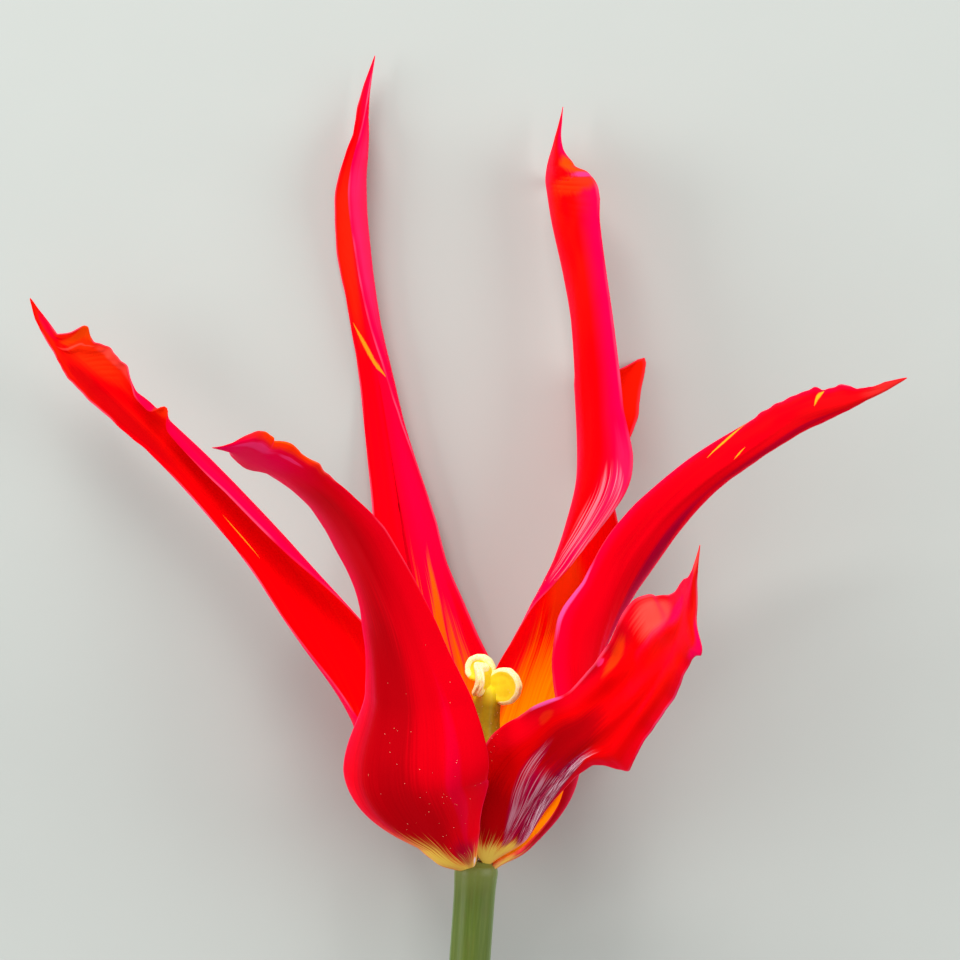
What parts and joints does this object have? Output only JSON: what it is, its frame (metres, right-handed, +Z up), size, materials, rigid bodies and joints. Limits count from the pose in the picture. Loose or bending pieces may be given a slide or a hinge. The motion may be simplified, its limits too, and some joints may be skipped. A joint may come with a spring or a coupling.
{
  "type": "red tulip flower",
  "caption": "Cut red tulip of the horned kind lying on its side, with long narrow twisted petals rolled along their margins and a bare green stem.",
  "frame": {"origin": "on the floor, under the middle of the whole flower and stem", "axes": "+Y along the flower from the stem's cut end to the petals' tips, +Z up from the floor, +X to the right of someone who looks down with the petals away from them"},
  "size_m": [0.1273, 0.3195, 0.0771],
  "materials": {
    "stem": "smooth, slightly waxy plant stem",
    "petal": "satin petal with fine lengthwise veins",
    "pistil": "matt plant tissue, paler on the stigma",
    "filament": "matt plant tissue",
    "anther": "matt, dusted with pollen"
  },
  "bodies": {
    "root": {"stem": "stem", "petal_left": "petal", "petal_back_left": "petal", "petal_back_right": "petal", "petal_front_left": "petal", "petal_front_right": "petal", "petal_right": "petal", "pistil": "pistil", "filament_1": "filament", "anther_1": "anther", "filament_2": "filament", "anther_2": "anther", "filament_3": "filament", "anther_3": "anther", "filament_4": "filament", "anther_4": "anther", "filament_5": "filament", "anther_5": "anther", "filament_6": "filament", "anther_6": "anther"}
  },
  "joints": []
}
